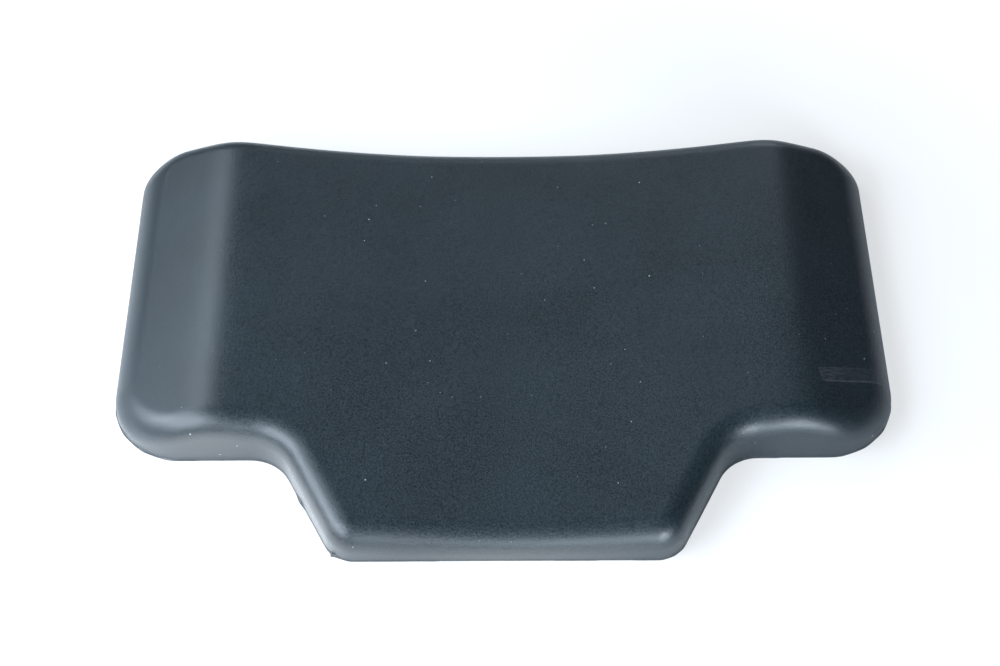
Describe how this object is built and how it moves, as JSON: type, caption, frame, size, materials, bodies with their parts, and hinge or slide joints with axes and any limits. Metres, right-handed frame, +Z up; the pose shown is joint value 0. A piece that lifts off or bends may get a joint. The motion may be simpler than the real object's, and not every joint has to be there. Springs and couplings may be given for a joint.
{
  "type": "chair armrest pad",
  "caption": "Wide T-shaped armrest pad of integral-skin foam with a shallow trough between two ridges, moulded over a plywood insert with threaded tee nuts underneath.",
  "frame": {"origin": "centre of the overall outline, on the flat underside", "axes": "+Z up out of the padded top; +Y from the narrow tongue toward the wide end; +X to the right, looking from the tongue"},
  "size_m": [0.32, 0.2124, 0.0237],
  "materials": {
    "foam_skin": "satin",
    "plywood": "matte",
    "zinc_plate": "satin",
    "crepe_tape": "matte"
  },
  "bodies": {
    "root": {"foam_pad": "foam_skin", "insert_board": "plywood", "tee_nut_left_back": "zinc_plate", "seal_disc_left_back": "crepe_tape", "tee_nut_right_back": "zinc_plate", "seal_disc_right_back": "crepe_tape", "tee_nut_left_front": "zinc_plate", "seal_disc_left_front": "crepe_tape", "tee_nut_right_front": "zinc_plate", "seal_disc_right_front": "crepe_tape"}
  },
  "joints": []
}
